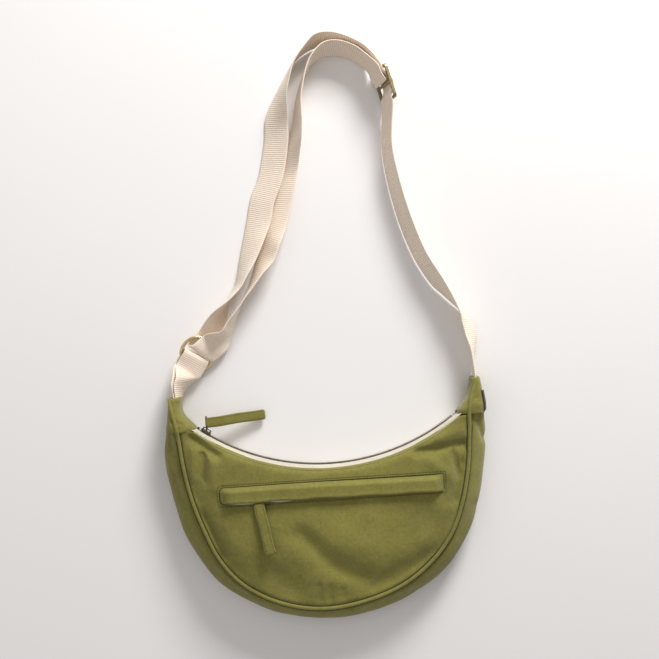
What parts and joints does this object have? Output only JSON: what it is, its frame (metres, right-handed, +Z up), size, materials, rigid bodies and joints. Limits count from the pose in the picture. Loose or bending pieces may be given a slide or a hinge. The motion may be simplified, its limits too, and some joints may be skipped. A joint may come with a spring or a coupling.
{
  "type": "hobo bag",
  "caption": "Crescent canvas shoulder bag with a curved top zip, a zipped front pocket under a welt, and a long webbing strap with a ring and a slide adjuster.",
  "frame": {"origin": "middle of the bounding box's floor, under the bag lying on its back", "axes": "+X to the bag's right, +Y from the bag's bottom towards the strap, +Z up off the surface"},
  "size_m": [0.338, 0.6119, 0.0538],
  "materials": {
    "canvas": "washed cotton canvas",
    "lining": "plain cotton",
    "label": "blank woven",
    "zip_tape": "woven cotton tape",
    "webbing": "ribbed cotton webbing",
    "antique_metal": "antique",
    "brass": "antique satin"
  },
  "bodies": {
    "bag": {"front_panel": "canvas", "back_panel": "canvas", "gusset": "canvas", "front_piping": "canvas", "back_piping": "canvas", "left_corner_cap": "canvas", "right_corner_cap": "canvas", "pocket_welt": "canvas", "pocket_bag": "lining", "side_label": "label", "main_zip_tape_front": "zip_tape", "main_zip_tape_back": "zip_tape", "pocket_zip_tape_upper": "zip_tape", "pocket_zip_tape_lower": "zip_tape", "main_zip_teeth_front": "antique_metal", "main_zip_teeth_back": "antique_metal", "main_zip_stops": "antique_metal", "pocket_zip_teeth_upper": "antique_metal", "pocket_zip_teeth_lower": "antique_metal", "pocket_zip_stops": "antique_metal", "shoulder_strap": "webbing", "ring_tab": "webbing"},
    "main_slider": {"main_slider": "antique_metal"},
    "main_link": {"main_pull_link": "antique_metal"},
    "main_tab": {"main_pull_tab": "canvas"},
    "pocket_slider": {"pocket_slider": "antique_metal", "pocket_pull_link": "antique_metal"},
    "pocket_tab": {"pocket_pull_tab": "canvas"},
    "ring": {"o_ring": "brass"},
    "adjuster": {"strap_adjuster": "brass"}
  },
  "joints": [
    {"name": "main_zip_travel", "type": "hinge", "parent": "bag", "child": "main_slider", "pos_m": [0.004, 0.082, 0.0185], "axis": [0, 0, 1], "range_deg": [0, 69]},
    {"name": "main_link_swing", "type": "hinge", "parent": "main_slider", "child": "main_link", "pos_m": [-0.12293, -0.10062, 0.0185], "axis": [0, 0, 1], "range_deg": [-12, 35]},
    {"name": "main_tab_swing", "type": "hinge", "parent": "main_link", "child": "main_tab", "pos_m": [-0.12293, -0.09362, 0.0227], "axis": [0, -1, 0], "range_deg": [0, 80]},
    {"name": "pocket_zip_travel", "type": "slide", "parent": "bag", "child": "pocket_slider", "axis": [1, 0, 0], "range_m": [-0.03, 0.164]},
    {"name": "pocket_tab_swing", "type": "hinge", "parent": "pocket_slider", "child": "pocket_tab", "pos_m": [-0.06596, -0.17918, 0.0488], "axis": [-0.9945, -0.1045, 0], "range_deg": [0, 70]},
    {"name": "ring_turn", "type": "hinge", "parent": "bag", "child": "ring", "pos_m": [-0.128, -0.02, 0.0114], "axis": [0.2539, -0.2293, 0.9397], "continuous": true},
    {"name": "adjuster_tilt", "type": "hinge", "parent": "bag", "child": "adjuster", "pos_m": [0.087, 0.2485, 0.0182], "axis": [0.3155, 0.0801, 0.9455], "range_deg": [-3, 3]}
  ]
}
